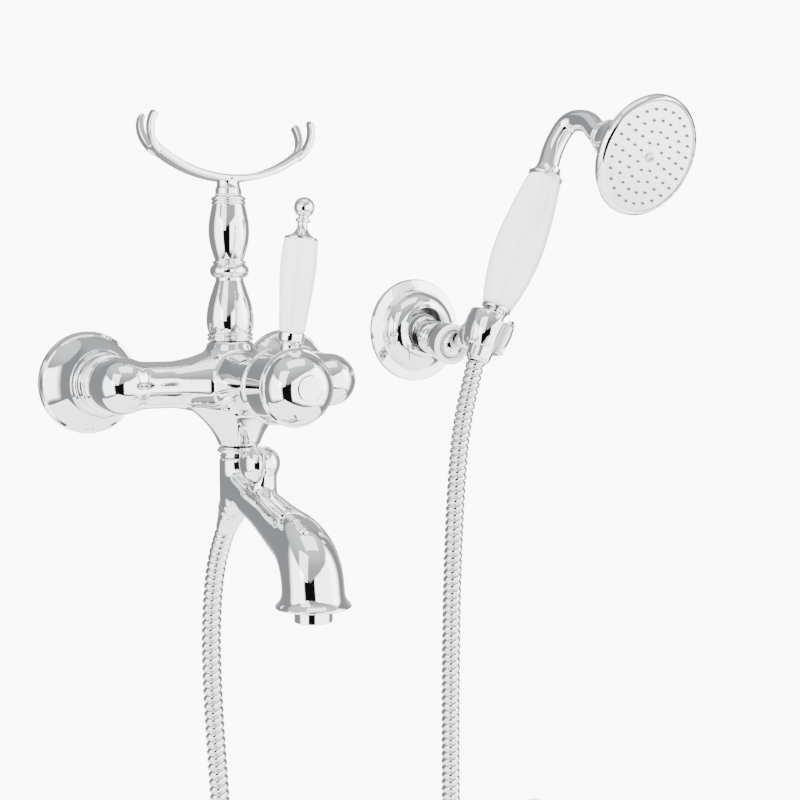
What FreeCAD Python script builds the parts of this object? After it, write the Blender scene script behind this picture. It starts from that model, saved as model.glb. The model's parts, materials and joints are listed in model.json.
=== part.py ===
import FreeCAD, Part
import math
import os

from FreeCAD import Placement, Rotation, Vector

# Wall mounted bath mixer in the turned, traditional style, with a hand shower on its own wall bracket.
# Millimetres. The wall is the plane Y = 0 and the fitting stands out along -Y. X runs along the mixer,
# with X = 0 half way between its two inlets, and Z is up, with Z = 0 at the height of the inlets.

DOC = FreeCAD.newDocument("wall_mounted_bath_faucet")
SHEET = DOC.addObject("Spreadsheet::Sheet", "Sizes")

SIZES = [
    # wall connections
    ("inlet_spacing", 150, "centre to centre of the two inlets"),
    ("body_standoff", 70, "wall to the axis of the casting"),
    ("half_inch_radius", 10.4, "outside of the G1/2 thread in the wall"),
    ("half_inch_length", 14, "length of the thread in the wall"),
    ("three_quarter_radius", 13, "outside of the G3/4 thread at the mixer"),
    ("union_tip", 40, "wall to the front end of the union"),
    ("water_bore_radius", 8, "waterway in the unions and the casting"),
    ("rosette_radius", 35, "wall rosette, outside"),
    ("rosette_height", 35, "wall rosette, wall to mouth"),
    ("rosette_wall", 1.6, "sheet of the rosettes"),
    ("collar_radius", 20, "union collar, outside"),
    ("collar_length", 13, "union collar, length"),
    ("seal_thickness", 2, "flat fibre and rubber seals"),
    # casting
    ("bulb_radius", 18.5, "rounded end over each inlet"),
    ("arm_radius", 15.5, "horizontal arms of the casting"),
    ("core_radius", 25, "round middle of the casting"),
    ("column_radius", 15.4, "rings at the foot of the column"),
    ("neck_height", 28, "axis of the casting to its upper face"),
    ("boss_radius", 18.6, "forward boss that carries the cartridge"),
    ("boss_reach", 57, "axis of the casting to the front of the boss"),
    ("outlet_offset", 12, "axis of the casting to the axis of the lower outlet"),
    ("outlet_radius", 13.5, "lower outlet, outside"),
    ("outlet_depth", 42, "axis of the casting to its lower face"),
    # cartridge and lever hub
    ("pivot_reach", 69, "axis of the casting to the pivot of the lever"),
    ("cartridge_radius", 15, "cartridge case, outside"),
    ("yoke_radius", 9.6, "turning yoke of the cartridge"),
    ("running_gap", 0.08, "radial clearance of a turning fit"),
    ("free_gap", 0.5, "clearance between parts that pass each other"),
    ("cover_radius", 19.8, "ball shaped cartridge cover"),
    ("hub_radius", 23.3, "lever hub, barrel"),
    ("hub_rim_radius", 24.6, "lever hub, raised rims"),
    ("hub_length", 27.5, "lever hub, rear rim to front rim"),
    ("hub_dome", 19, "height of the domed front"),
    ("medallion_radius", 7.6, "plain disc in the dome"),
    ("spindle_radius", 4, "cartridge spindle"),
    ("pin_radius", 1.5, "cross pin of the cartridge"),
    # lever
    ("lever_lean", 7.1, "lever from upright at rest, degrees"),
    ("lever_seat", 34, "hub axis to the foot of the lever grip"),
    ("lever_grip_length", 58, "ceramic grip of the lever"),
    ("lever_grip_radius", 11.3, "ceramic grip of the lever, widest"),
    ("lever_ball_radius", 6.5, "ball at the end of the lever"),
    ("lever_rod_radius", 2.5, "rod inside the lever"),
    # column and cradle
    ("column_height", 105.7, "foot of the column to the underside of the cradle"),
    ("vase_radius", 15.7, "lower turned vase, widest"),
    ("upper_vase_radius", 13.5, "upper turned vase, widest"),
    ("stud_radius", 4, "threaded stud inside the column"),
    ("cradle_span", 110, "cradle, left prongs to right prongs"),
    ("cradle_rise", 20, "drop of the cradle bar between its ends and its middle"),
    ("cradle_depth", 15, "cradle bar, front to back"),
    ("cradle_thickness", 4.6, "cradle bar, top to bottom"),
    ("prong_spread", 23, "front prong to back prong"),
    ("prong_height", 20, "prong above the end of the bar"),
    ("prong_width", 6.6, "prong, front to back"),
    ("prong_thickness", 4.2, "prong, side to side"),
    # spout and diverter
    ("spout_reach", 116, "axis of the casting to the axis of the spout outlet"),
    ("spout_drop", 131, "axis of the casting to the end of the spout"),
    ("spout_root_radius", 12.6, "spout tube at its root"),
    ("spout_end_radius", 19.3, "spout tube at its end"),
    ("spout_bend", 30, "bend of the spout, to its centre line"),
    ("spout_slope", 18, "spout below level at its root, degrees"),
    ("spout_flange_radius", 24, "flange at the end of the spout"),
    ("aerator_radius", 11.7, "aerator housing, outside"),
    ("aerator_length", 10, "aerator housing, length in sight"),
    ("chamber_radius", 11.4, "ball shaped diverter chamber"),
    ("chamber_reach", 44, "axis of the casting to the chamber"),
    ("chamber_depth", 50.5, "axis of the casting down to the chamber"),
    ("knob_radius", 12.2, "diverter knob"),
    ("knob_thickness", 9.5, "diverter knob, thickness"),
    ("hose_outlet_angle", 38, "hose outlet from straight down, towards the wall, degrees"),
    ("hose_boss_radius", 10.4, "hose outlet boss"),
    # hose
    ("hose_radius", 6.8, "metal hose, outside"),
    ("nut_length", 16, "conical nut at the mixer"),
    # bracket
    ("bracket_x", 188, "bracket, right of the middle of the mixer"),
    ("bracket_z", 33.5, "bracket, above the inlets"),
    ("bracket_rosette_radius", 39.5, "bracket rosette, outside"),
    ("bracket_plate_radius", 27, "back plate of the bracket, under its rosette"),
    ("bracket_droop", 11, "bracket stem below level, degrees"),
    ("bracket_reach", 51, "wall to the centre of the ball"),
    ("bracket_ball_radius", 10.8, "ball of the bracket"),
    ("socket_radius", 15, "socket of the bracket, outside"),
    ("screw_hole_radius", 2.6, "two wall screw holes in the back plate"),
    ("screw_hole_spacing", 44, "between the two wall screw holes"),
    # clip and hand shower
    ("clip_reach", 98, "wall to the centre of the clip"),
    ("clip_lift", -0.5, "centre of the clip above the bracket centre"),
    ("clip_side", 2, "centre of the clip, right of the bracket centre"),
    ("clip_height", 26, "clip, along its cone"),
    ("clip_wall", 4.6, "clip, wall of the cone"),
    ("clip_bulge", 2, "outside of the clip, roundness half way up"),
    ("clip_slot", 13, "slot that lets the hose through"),
    ("seat_gap", 0.35, "clearance of the nut in the clip"),
    ("handset_heading", 12, "hand shower turned to the right, degrees"),
    ("handset_side_lean", 23, "hand shower leant to the right, degrees"),
    ("handset_pitch", 6.4, "hand shower leant forward, degrees"),
    ("handset_nut_top_radius", 11.5, "conical nut at the hand shower, top"),
    ("handset_nut_foot_radius", 9.3, "conical nut at the hand shower, foot"),
    ("grip_foot", 19, "clip centre to the foot of the ceramic grip"),
    ("grip_length", 102, "ceramic grip of the hand shower"),
    ("grip_radius", 18, "ceramic grip of the hand shower, widest"),
    ("grip_top_radius", 12.8, "ceramic grip of the hand shower, top"),
    ("neck_tube_radius", 7.8, "curved neck"),
    ("head_forward", 91, "grip axis to the middle of the spray face"),
    ("head_height", 19, "top of the grip to the middle of the spray face, along the grip"),
    ("head_tilt", 18.4, "spray face below level with the grip upright, degrees"),
    ("head_radius", 43, "rim of the spray head"),
    ("head_depth", 55, "spray head, rim to neck"),
    ("nozzle_radius", 1.1, "one rubber nozzle"),
]
for row, (alias, value, meaning) in enumerate(SIZES, start=1):
    SHEET.set(f"A{row}", meaning)
    SHEET.set(f"B{row}", str(value))
    SHEET.setAlias(f"B{row}", alias)
DOC.recompute()

SUB_PARTS = []
UP = Vector(0, 0, 1)
OUT = Vector(0, -1, 0)
RIGHT = Vector(1, 0, 0)


def size(alias):
    return float(SHEET.get(alias))


def along(direction, origin=Vector(0, 0, 0)):
    """Placement that turns the local Z axis into the given direction."""
    return Placement(origin, Rotation(UP, direction))


def keep(feature, label):
    feature.Label = label
    SUB_PARTS.append(feature)
    return feature


def made(label, shape, place=Placement()):
    """A sub-part whose shape is made from the sizes in the sheet."""
    feature = DOC.addObject("Part::Feature", label)
    feature.Shape = shape
    feature.Placement = place
    return keep(feature, label)


def cylinder_feature(name, radius, height, place):
    feature = DOC.addObject("Part::Cylinder", name)
    feature.setExpression("Radius", radius)
    feature.setExpression("Height", height)
    feature.Placement = place
    return feature


def ring(label, outer, inner, height, place):
    """Plain ring: two bound cylinders and a cut. The three sizes are expressions on the sheet."""
    cut = DOC.addObject("Part::Cut", label)
    cut.Base = cylinder_feature(f"{label}_outside", outer, height, place)
    cut.Tool = cylinder_feature(f"{label}_bore", inner, height, place)
    return keep(cut, label)


def outline_face(points):
    """Face in the XZ plane. A point is (r, z), or (r, z, r2, z2): an arc through the first to the second."""
    edges = []
    last = Vector(points[0][0], 0, points[0][1])
    for point in list(points[1:]) + [points[0][:2]]:
        end = Vector(point[-2], 0, point[-1])
        if (end - last).Length < 1e-6:
            continue
        if len(point) == 4:
            edges.append(Part.Arc(last, Vector(point[0], 0, point[1]), end).toShape())
        else:
            edges.append(Part.LineSegment(last, end).toShape())
        last = end
    return Part.Face(Part.Wire(edges))


def turned(points):
    """Solid of revolution about the local Z axis."""
    return outline_face(points).revolve(Vector(0, 0, 0), UP, 360)


def rod(start, end, radius):
    axis = end - start
    return Part.makeCylinder(radius, axis.Length, start, axis)


def bead(radius, z, half):
    """Outline points of a rounded bead, from its lower to its upper edge."""
    return [(radius - half, z - half), (radius, z, radius - half, z + half)]


def rounded_wire(points):
    """Straight runs joined by tangent arcs, each as large as its two runs allow. Returns wire and radii."""
    edges = []
    radii = []
    last = points[0]
    for before, corner, after in zip(points, points[1:], points[2:]):
        into = (corner - before)
        away = (after - corner)
        turn = into.getAngle(away)
        cut = 0.45 * min(into.Length, away.Length)
        radius = cut / math.tan(turn / 2)
        into.normalize()
        away.normalize()
        start = corner - into * cut
        end = corner + away * cut
        bisector = (away - into).normalize()
        centre = corner + bisector * (radius / math.cos(turn / 2))
        middle = centre - bisector * radius
        edges.append(Part.LineSegment(last, start).toShape())
        edges.append(Part.Arc(start, middle, end).toShape())
        radii.append(radius)
        last = end
    edges.append(Part.LineSegment(last, points[-1]).toShape())
    return Part.Wire(edges), radii


def swept(wire, radius, start, direction):
    profile = Part.Wire([Part.Circle(start, direction, radius).toShape()])
    return wire.makePipeShell([profile], True, True)


def circle_wire(centre, normal, radius):
    return Part.Wire([Part.Circle(centre, normal, radius).toShape()])


# ---------------------------------------------------------------- wall connections
STANDOFF = size("body_standoff")
HALF_SPACING = size("inlet_spacing") / 2
SIDES = {"left": -HALF_SPACING, "right": HALF_SPACING}
UNION_TIP = size("union_tip")
COLLAR_END = UNION_TIP + size("collar_length") - 2.5
COLLAR_START = COLLAR_END - size("collar_length")
TAIL_START = UNION_TIP + size("seal_thickness")


def inlet_union():
    bore = size("water_bore_radius")
    wall_end = -size("half_inch_length")
    shoulder = size("three_quarter_radius") - 0.6
    tip = UNION_TIP
    return turned([
        (bore, wall_end), (size("half_inch_radius") - 1, wall_end), (size("half_inch_radius"), wall_end + 1),
        (size("half_inch_radius"), 0), (shoulder, 0.01), (shoulder, 16), (size("three_quarter_radius"), 16.6),
        (size("three_quarter_radius"), tip - 0.8), (size("three_quarter_radius") - 0.8, tip), (bore, tip),
    ])


def rosette():
    outer = size("rosette_radius")
    mouth = size("three_quarter_radius") + 0.2
    height = size("rosette_height")
    wall = size("rosette_wall")
    throat = size("collar_radius") + 1.5
    return turned([
        (outer - 4, 0), (outer, 0), (outer, 1.6), (outer - 0.6, 3), (outer - 2.4, 3.6),
        (outer - 3.4, 4.4), (throat + 3.4, height * 0.42, throat, height - 2.5),
        (throat - 0.6, height - 0.6, throat - 2.2, height), (mouth, height), (mouth, height - wall),
        (throat - 2.4, height - wall), (throat + 1.6, height * 0.40, outer - 6.4, 2.2), (outer - 6.4, 0),
    ])


def union_collar():
    bore = size("three_quarter_radius")
    outer = size("collar_radius")
    return turned([
        (bore, COLLAR_START), (outer - 1.6, COLLAR_START),
        (outer - 0.4, COLLAR_START + 0.5, outer, COLLAR_START + 1.8),
        (outer, COLLAR_END - 5.4), (outer - 0.3, COLLAR_END - 4.2, outer - 1.4, COLLAR_END - 3.8),
        (outer - 1.4, COLLAR_END - 0.8), (outer - 2.2, COLLAR_END), (bore, COLLAR_END),
    ])


def check_valve():
    outer = size("water_bore_radius") - 0.2
    start = TAIL_START + 0.5
    return turned([
        (3.6, start), (outer, start), (outer, start + 11), (outer - 2, start + 13), (1.2, start + 13),
        (1.2, start + 11.5), (3.6, start + 9),
    ])


for side, x in SIDES.items():
    at_inlet = along(OUT, Vector(x, 0, 0))
    made(f"inlet_union_{side}", inlet_union(), at_inlet)
    made(f"rosette_{side}", rosette(), at_inlet)
    made(f"union_collar_{side}", union_collar(), at_inlet)


def inlet_seal():
    outer = size("three_quarter_radius") - 0.4
    bore = size("water_bore_radius")
    return turned([(bore, UNION_TIP), (outer, UNION_TIP), (outer, TAIL_START), (bore, TAIL_START)])


def at_both_inlets(shape_of):
    """The same loose piece at both inlets, as one sub-part."""
    pieces = []
    for x in SIDES.values():
        piece = shape_of()
        piece.Placement = along(OUT, Vector(x, 0, 0))
        pieces.append(piece)
    return Part.makeCompound(pieces)


made("inlet_seals", at_both_inlets(inlet_seal))
made("check_valves", at_both_inlets(check_valve))

# ---------------------------------------------------------------- casting
CENTRE = Vector(0, -STANDOFF, 0)
NECK_TOP = size("neck_height")
OUTLET_DEPTH = size("outlet_depth")
OUTLET_Y = -STANDOFF - size("outlet_offset")
BOSS_FRONT = Vector(0, -STANDOFF - size("boss_reach"), 0)
PIVOT = Vector(0, -STANDOFF - size("pivot_reach"), 0)


def circular_edges(shape, axis, radius, near, far):
    """Circular edges of the given radius round an axis, with their centre between two points of that axis."""
    found = []
    for edge in shape.Edges:
        if edge.Degenerated:
            continue
        curve = edge.Curve
        if not isinstance(curve, Part.Circle) or abs(curve.Radius - radius) > 1e-3:
            continue
        if abs(abs(curve.Axis.dot(axis)) - 1) > 1e-4:
            continue
        if near < curve.Center.dot(axis) < far:
            found.append(edge)
    return found


def boss_flare():
    """Concave sweep from the round core into the forward boss."""
    core = size("core_radius")
    boss = size("boss_radius")
    start = 0.4 * core
    start_radius = math.sqrt(core ** 2 - start ** 2)
    end = start + 1.1 * core
    return turned([
        (0, start), (start_radius, start),
        (boss + 0.28 * (start_radius - boss), start + 0.42 * (end - start), boss, end), (0, end),
    ])


def outlet_flare():
    """The casting spreads from the round lower outlet, wide to both sides and less to the front."""
    outlet = size("outlet_radius")
    arm = size("arm_radius")
    rings = []
    for share in (0, 0.25, 0.55, 1):
        level = -OUTLET_DEPTH + share * (OUTLET_DEPTH - 0.9 * arm)
        wide = outlet + (0.45 * share + 1.05 * share ** 2) * arm
        deep = outlet + 0.42 * share * arm
        oval = Part.Ellipse(Vector(0, OUTLET_Y, level), wide, deep) if share else None
        edge = oval.toShape() if share else Part.Circle(Vector(0, OUTLET_Y, level), UP, outlet).toShape()
        rings.append(Part.Wire([edge]))
    return Part.makeLoft(rings, True)


def arm_flare():
    """Each arm widens in a concave sweep towards the round core."""
    core = size("core_radius")
    arm = size("arm_radius")
    far = 2.1 * core
    shape = turned([
        (0, -far), (arm - 0.6, -far), (arm + 1.6, -1.3 * core, 0.93 * core, -0.55 * core),
        (1.04 * core, 0, 0.93 * core, 0.55 * core), (arm + 1.6, 1.3 * core, arm - 0.6, far), (0, far),
    ])
    shape.Placement = along(RIGHT, CENTRE)
    return shape


def neck_flare():
    """The core rises in a concave sweep to the foot of the column."""
    core = size("core_radius")
    neck = size("column_radius")
    shape = turned([
        (0, 0.3 * core), (0.97 * core, 0.3 * core),
        (neck + 2.9, NECK_TOP - 9, neck - 0.2, NECK_TOP - 0.4), (0, NECK_TOP - 0.4),
    ])
    shape.Placement = Placement(CENTRE, Rotation())
    return shape


def mixer_casting():
    """Round core with two arms, a neck on top, a boss in front and an outlet below, with soft joints."""
    core = size("core_radius")
    arm = size("arm_radius")
    bulb = size("bulb_radius")
    bore = size("water_bore_radius")
    shape = Part.makeSphere(core, CENTRE)
    shape = shape.fuse(rod(CENTRE - RIGHT * HALF_SPACING, CENTRE + RIGHT * HALF_SPACING, arm))
    shape = shape.fuse(rod(CENTRE, CENTRE + UP * NECK_TOP, size("column_radius")))
    for x in SIDES.values():
        end = Vector(x, -STANDOFF, 0)
        shape = shape.fuse(Part.makeSphere(bulb, end))
        shape = shape.fuse(rod(Vector(x, -COLLAR_END, 0), end, bulb))
    shape = shape.removeSplitter()
    arm_edges = circular_edges(shape, RIGHT, arm, -HALF_SPACING, HALF_SPACING)
    bulb_edges = [edge for edge in arm_edges if abs(edge.Curve.Center.x) > HALF_SPACING / 2]
    shape = shape.makeFillet(0.75 * bulb, bulb_edges)
    roots = circular_edges(shape, RIGHT, arm, -HALF_SPACING / 2, HALF_SPACING / 2)
    shape = shape.makeFillet(0.32 * core, roots)
    shape = shape.makeFillet(0.32 * core, circular_edges(shape, UP, size("column_radius"), -1, NECK_TOP - 1))
    flare = boss_flare()
    flare.Placement = along(OUT, CENTRE)
    shape = shape.fuse([flare, rod(CENTRE, BOSS_FRONT, size("boss_radius")), outlet_flare()])
    shape = shape.fuse([arm_flare(), neck_flare()])
    hollow = [rod(CENTRE - RIGHT * HALF_SPACING, CENTRE + RIGHT * HALF_SPACING, bore)]
    hollow.append(rod(CENTRE + OUT * 30, BOSS_FRONT, size("cartridge_radius")))
    hollow.append(rod(Vector(0, OUTLET_Y, -OUTLET_DEPTH), Vector(0, OUTLET_Y, 0), bore))
    hollow.append(rod(CENTRE + UP * (NECK_TOP - 10), CENTRE + UP * NECK_TOP, size("stud_radius")))
    for x in SIDES.values():
        tail = rod(Vector(x, -TAIL_START, 0), Vector(x, -COLLAR_END, 0), size("three_quarter_radius"))
        shape = shape.fuse(tail)
        hollow.append(rod(Vector(x, -TAIL_START, 0), Vector(x, -STANDOFF, 0), bore))
        hollow.append(Part.makeSphere(bore, Vector(x, -STANDOFF, 0)))
    return shape.cut(hollow)


made("mixer_casting", mixer_casting())

# ---------------------------------------------------------------- cartridge
AT_CENTRE = along(OUT, CENTRE)
AT_PIVOT = along(OUT, PIVOT)
CASE = size("cartridge_radius")
YOKE = size("yoke_radius")
PIVOT_REACH = size("pivot_reach")
COVER = size("cover_radius")
FREE = size("free_gap")


def cartridge_case():
    """Ceramic disc cartridge: a closed case with a round seat for the yoke."""
    seat = YOKE + size("running_gap")
    back = 32
    front = PIVOT_REACH + 7
    return turned([
        (0, back), (CASE - 1, back), (CASE, back + 1), (CASE, front), (seat, front),
        (seat, PIVOT_REACH - 6.5), (0, PIVOT_REACH - 6.5),
    ])


def cartridge_cover():
    """Screwed cover: a barrel behind the pivot and a ball round it, so the hub clears it at every tilt."""
    boss = size("boss_radius")
    step = math.sqrt(COVER ** 2 - boss ** 2)
    front = 11.5
    front_radius = math.sqrt(COVER ** 2 - front ** 2)
    lip = 7
    back = size("boss_reach") - PIVOT_REACH
    middle = (front - step) / 2
    return turned([
        (CASE, back), (boss, back), (boss, -step),
        (math.sqrt(COVER ** 2 - middle ** 2), middle, front_radius, front),
        (YOKE - 0.8, front), (YOKE - 0.8, lip), (CASE, lip),
    ])


def cartridge_yoke():
    """Round yoke with a through hole for the spindle, and the cross pin that the spindle tilts on."""
    hole = size("spindle_radius") + 2.6
    body = turned([(hole, -6), (YOKE, -6), (YOKE, 6), (hole, 6)])
    pin = rod(Vector(-YOKE + 0.6, 0, 0), Vector(YOKE - 0.6, 0, 0), size("pin_radius"))
    return body.fuse(pin)


def cartridge_spindle():
    """Spindle from behind the pivot to the front of the hub, with the cross hole for the pin."""
    radius = size("spindle_radius")
    hole = size("pin_radius") + size("running_gap") / 2
    body = turned([(0, -5.5), (radius - 1, -5.5), (radius, -4.5), (radius, HUB_WEB + 6), (0, HUB_WEB + 6)])
    return body.cut(rod(Vector(-20, 0, 0), Vector(20, 0, 0), hole))


HUB_WEB = COVER + FREE + 0.2
HUB_FRONT = size("hub_length")


def lever_hub():
    """Barrel with a raised rim at each end and a domed front. Heights are from the pivot."""
    inner = COVER + FREE
    barrel = size("hub_radius")
    rim = size("hub_rim_radius")
    dome = size("hub_dome")
    recess = size("medallion_radius")
    apex = HUB_FRONT + dome
    screw = 3.2
    return turned([
        (inner, 0), (rim - 0.6, 0), (rim, 0.8, rim - 0.6, 1.6), (rim - 1, 2.0), (barrel, 2.6),
        (barrel, HUB_FRONT - 2.6), (rim - 1, HUB_FRONT - 2.0), (rim - 0.6, HUB_FRONT - 1.6),
        (rim, HUB_FRONT - 0.8, rim - 0.6, HUB_FRONT), (barrel - 0.5, HUB_FRONT + 0.5),
        (0.80 * barrel, HUB_FRONT + 0.66 * dome, recess + 0.8, apex - 0.6),
        (recess, apex - 0.2), (recess, apex - 3), (screw, apex - 3),
        (screw, HUB_WEB + 6), (size("spindle_radius"), HUB_WEB + 6), (size("spindle_radius"), HUB_WEB),
        (inner, HUB_WEB),
    ])


def hub_screw():
    """Socket head screw that draws the hub on to the spindle."""
    apex = HUB_FRONT + size("hub_dome")
    head = 2.2
    return turned([
        (0, HUB_WEB + 6), (3.2, HUB_WEB + 6), (3.2, apex - 3), (5, apex - 3), (5, apex - 3 + head - 0.4),
        (4.6, apex - 3 + head), (1.8, apex - 3 + head), (1.8, apex - 4.2), (0, apex - 4.2),
    ])


def medallion():
    apex = HUB_FRONT + size("hub_dome")
    outer = size("medallion_radius")
    return turned([
        (0, apex - 0.8), (outer, apex - 0.8), (outer, apex - 0.2),
        (0.6 * outer, apex + 0.25, 0.4, apex + 0.4), (0, apex + 0.4),
    ])


made("cartridge_case", cartridge_case(), AT_CENTRE)
ring("cartridge_seal", "Sizes.cartridge_radius - 1", "Sizes.water_bore_radius", "Sizes.seal_thickness",
     along(OUT, CENTRE + OUT * 30))
made("cartridge_cover", cartridge_cover(), AT_PIVOT)
made("cartridge_yoke", cartridge_yoke(), AT_PIVOT)
made("cartridge_spindle", cartridge_spindle(), AT_PIVOT)
made("lever_hub", lever_hub(), AT_PIVOT)
made("hub_screw", hub_screw(), AT_PIVOT)
made("hub_medallion", medallion(), AT_PIVOT)

# ---------------------------------------------------------------- lever
LEVER_ROOT = PIVOT + OUT * (HUB_FRONT / 2)
LEVER_AXIS = Rotation(Vector(0, 1, 0), size("lever_lean")).multVec(UP)
AT_LEVER = along(LEVER_AXIS, LEVER_ROOT)
GRIP_FOOT = size("lever_seat")
GRIP_TOP = GRIP_FOOT + size("lever_grip_length")
ROD = size("lever_rod_radius")


def lever_cup():
    """Chrome cup that stands on the barrel of the hub and holds the foot of the grip."""
    barrel = size("hub_radius")
    cup = turned([
        (0, barrel - 2.5), (6.4, barrel - 2.5), (6.4, barrel + 1.2), (6.8, barrel + 3.4, 8.1, barrel + 5.2),
        (8.3, GRIP_FOOT - 2.4), (8.3, GRIP_FOOT - 0.8), (7.8, GRIP_FOOT), (ROD, GRIP_FOOT),
        (ROD, barrel + 1), (0, barrel + 1),
    ])
    hub = Part.makeCylinder(barrel, 60, Vector(0, -30, 0), Vector(0, 1, 0))
    return cup.cut(hub)


def lever_grip():
    wide = size("lever_grip_radius")
    long = size("lever_grip_length")
    return turned([
        (ROD, GRIP_FOOT), (0.66 * wide, GRIP_FOOT), (0.72 * wide, GRIP_FOOT + 1.6),
        (0.84 * wide, GRIP_FOOT + 0.28 * long, 0.97 * wide, GRIP_FOOT + 0.58 * long),
        (wide, GRIP_FOOT + 0.78 * long, 0.95 * wide, GRIP_TOP - 2.2),
        (0.93 * wide, GRIP_TOP - 0.6, 0.86 * wide, GRIP_TOP), (ROD, GRIP_TOP),
    ])


def lever_cap():
    """Flared cap over the top of the grip, narrowing to a neck with a thin ring under the ball."""
    wide = size("lever_grip_radius")
    neck = 3.1
    ring_radius = 4.7
    return turned([
        (ROD, GRIP_TOP), (0.92 * wide, GRIP_TOP), (0.94 * wide, GRIP_TOP + 0.7),
        (0.86 * wide, GRIP_TOP + 1.6),
        (0.45 * wide, GRIP_TOP + 4.2, neck, GRIP_TOP + 9), (neck, GRIP_TOP + 10.5),
        (ring_radius - 0.5, GRIP_TOP + 11), (ring_radius, GRIP_TOP + 12, ring_radius - 0.5, GRIP_TOP + 13),
        (neck, GRIP_TOP + 13.6), (neck, GRIP_TOP + 14.4), (ROD, GRIP_TOP + 14.4),
    ])


def lever_ball():
    ball = size("lever_ball_radius")
    centre = GRIP_TOP + 14.4 + 0.88 * ball
    return Part.makeSphere(ball, Vector(0, 0, centre)).cut(
        Part.makeCylinder(2 * ball, ball, Vector(0, 0, GRIP_TOP + 14.4 - ball)))


made("lever_cup", lever_cup(), AT_LEVER)
made("lever_grip", lever_grip(), AT_LEVER)
made("lever_cap", lever_cap(), AT_LEVER)
made("lever_ball", lever_ball(), AT_LEVER)
lever_rod = cylinder_feature("lever_rod_bar", "Sizes.lever_rod_radius", "Sizes.lever_grip_length + 20",
                             AT_LEVER)
lever_rod.Placement = along(LEVER_AXIS, LEVER_ROOT + LEVER_AXIS * (size("hub_radius") + 1))
keep(lever_rod, "lever_rod")

# ---------------------------------------------------------------- column
COLUMN_FOOT = CENTRE + UP * NECK_TOP
AT_COLUMN = Placement(COLUMN_FOOT, Rotation())
STUD = size("stud_radius")
COLUMN_TOP = size("column_height")
BASE_RING = 5.6
LOWER_TOP = 40.5
MID_TOP = 54.2
UPPER_TOP = 90
TOP_RING_TOP = COLUMN_TOP - 9


def column_base_ring():
    outer = size("column_radius")
    return turned([
        (STUD, 0), (outer - 0.8, 0), *bead(outer, 1.5, 1.1), *bead(outer, 4.1, 1.1),
        (outer - 1.6, BASE_RING), (STUD, BASE_RING),
    ])


def lower_vase():
    wide = size("vase_radius")
    return turned([
        (STUD, BASE_RING), (wide - 1.6, BASE_RING), (wide - 0.4, BASE_RING + 3.6, wide, BASE_RING + 7.6),
        (wide - 1.1, BASE_RING + 17.6, wide - 3.5, BASE_RING + 26),
        (wide - 5, BASE_RING + 30.6, wide - 6.4, LOWER_TOP - 0.4),
        (wide - 6.4, LOWER_TOP), (STUD, LOWER_TOP),
    ])


def middle_torus():
    wide = 13
    return turned([
        (STUD, LOWER_TOP), (9.3, LOWER_TOP), (9.2, LOWER_TOP + 1.4), (10.8, LOWER_TOP + 2.2),
        (wide, LOWER_TOP + 6.2, 10.8, LOWER_TOP + 10.2), (10.4, LOWER_TOP + 10.8),
        *bead(11.2, LOWER_TOP + 11.9, 0.9), (9.6, LOWER_TOP + 13), (9.6, MID_TOP), (STUD, MID_TOP),
    ])


def upper_vase():
    wide = size("upper_vase_radius")
    return turned([
        (STUD, MID_TOP), (wide - 3.9, MID_TOP), (wide - 1.7, MID_TOP + 6.8, wide - 0.4, MID_TOP + 13),
        (wide, MID_TOP + 20.4, wide - 0.8, MID_TOP + 28), (wide - 1.6, MID_TOP + 32, wide - 2.4, UPPER_TOP),
        (STUD, UPPER_TOP),
    ])


def column_top_ring():
    return turned([
        (STUD, UPPER_TOP), (10.4, UPPER_TOP), *bead(11.6, UPPER_TOP + 1.7, 1.2),
        *bead(11.6, UPPER_TOP + 4.4, 1.2),
        (9.2, TOP_RING_TOP - 0.2), (9.2, TOP_RING_TOP), (STUD, TOP_RING_TOP),
    ])


made("column_base_ring", column_base_ring(), AT_COLUMN)
made("column_lower_vase", lower_vase(), AT_COLUMN)
made("column_middle_torus", middle_torus(), AT_COLUMN)
made("column_upper_vase", upper_vase(), AT_COLUMN)
made("column_top_ring", column_top_ring(), AT_COLUMN)
column_stud = cylinder_feature("column_stud_bar", "Sizes.stud_radius", "Sizes.column_height + 8",
                               Placement(COLUMN_FOOT - UP * 10, Rotation()))
keep(column_stud, "column_stud")

# ---------------------------------------------------------------- cradle
WASHER = 0.8
CRADLE_FOOT = TOP_RING_TOP + WASHER
HALF_SPAN = size("cradle_span") / 2
RISE = size("cradle_rise")
BAR = size("cradle_thickness")
DEPTH = size("cradle_depth")
ARC_RADIUS = (HALF_SPAN ** 2 + RISE ** 2) / (2 * RISE)


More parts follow.
